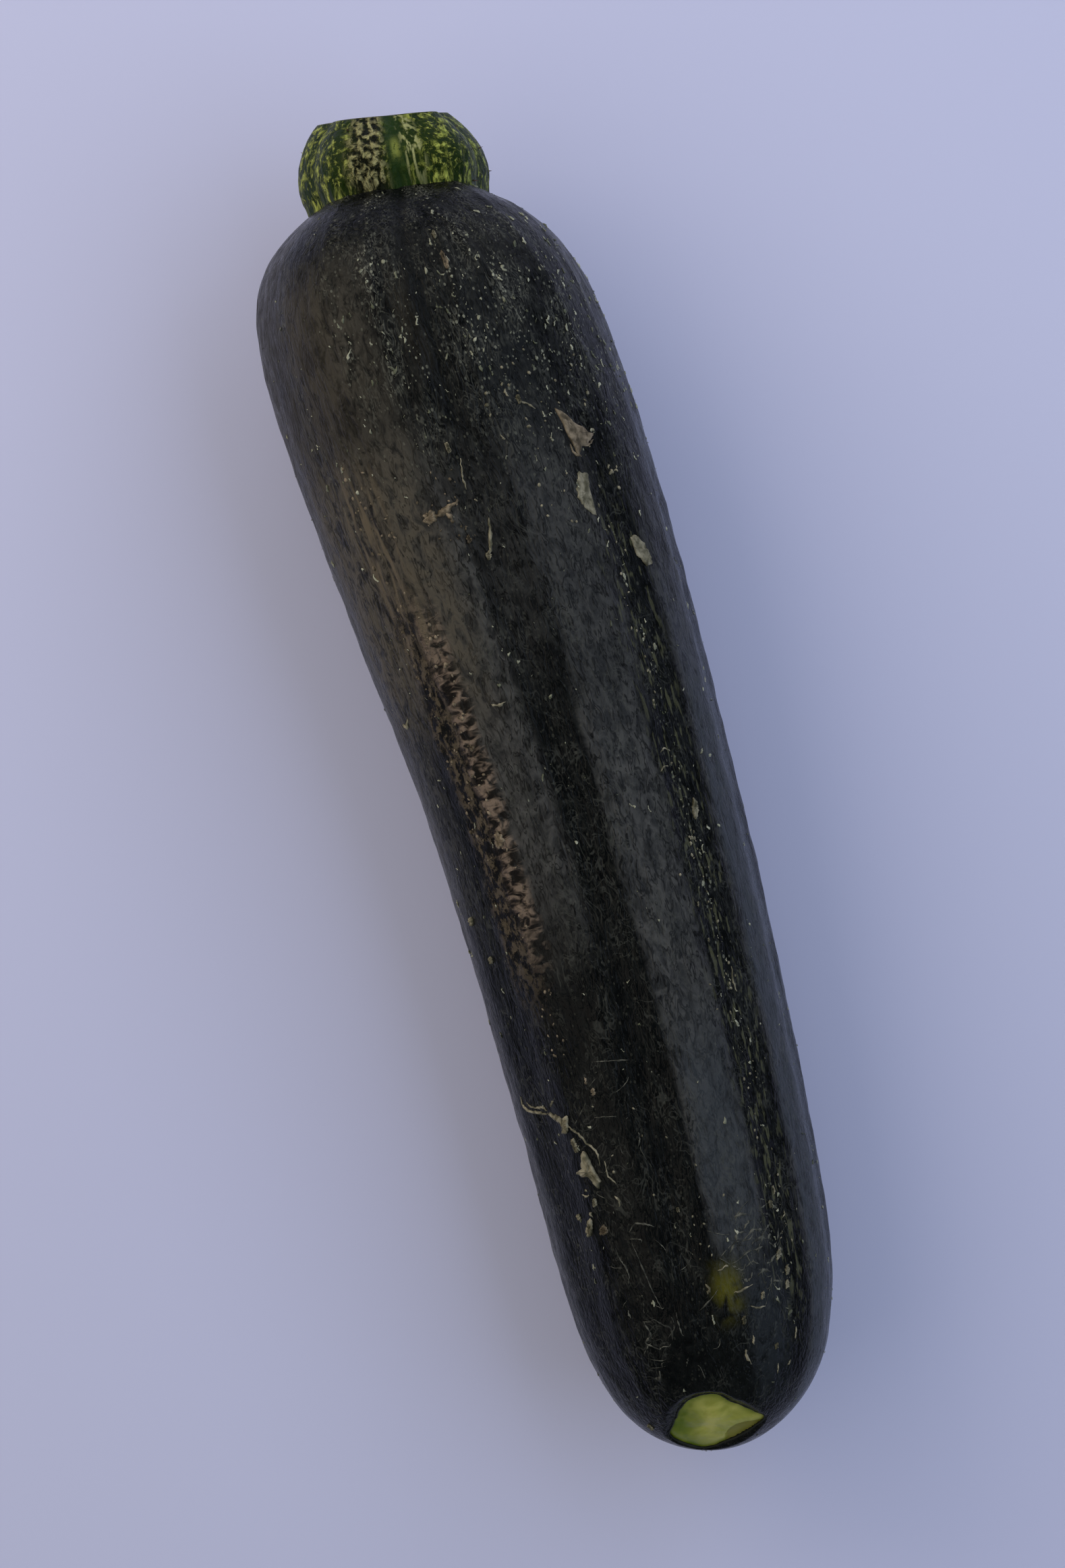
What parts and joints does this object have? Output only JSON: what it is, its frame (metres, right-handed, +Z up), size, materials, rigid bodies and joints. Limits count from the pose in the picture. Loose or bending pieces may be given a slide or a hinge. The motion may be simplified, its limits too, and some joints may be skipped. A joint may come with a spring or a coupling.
{
  "type": "courgette",
  "caption": "Dark green courgette lying on its side, softly ribbed and slightly bowed, with its cut stem and the pale scar its flower left.",
  "frame": {"origin": "on the surface that the courgette lies on, below the middle of its bounding box", "axes": "+X along its length, towards the cut stem; +Z up from the surface it lies on"},
  "size_m": [0.1986, 0.0506, 0.0496],
  "materials": {
    "skin": "satin",
    "stem": "matte"
  },
  "bodies": {
    "root": {"fruit": "skin", "stem": "stem"}
  },
  "joints": []
}
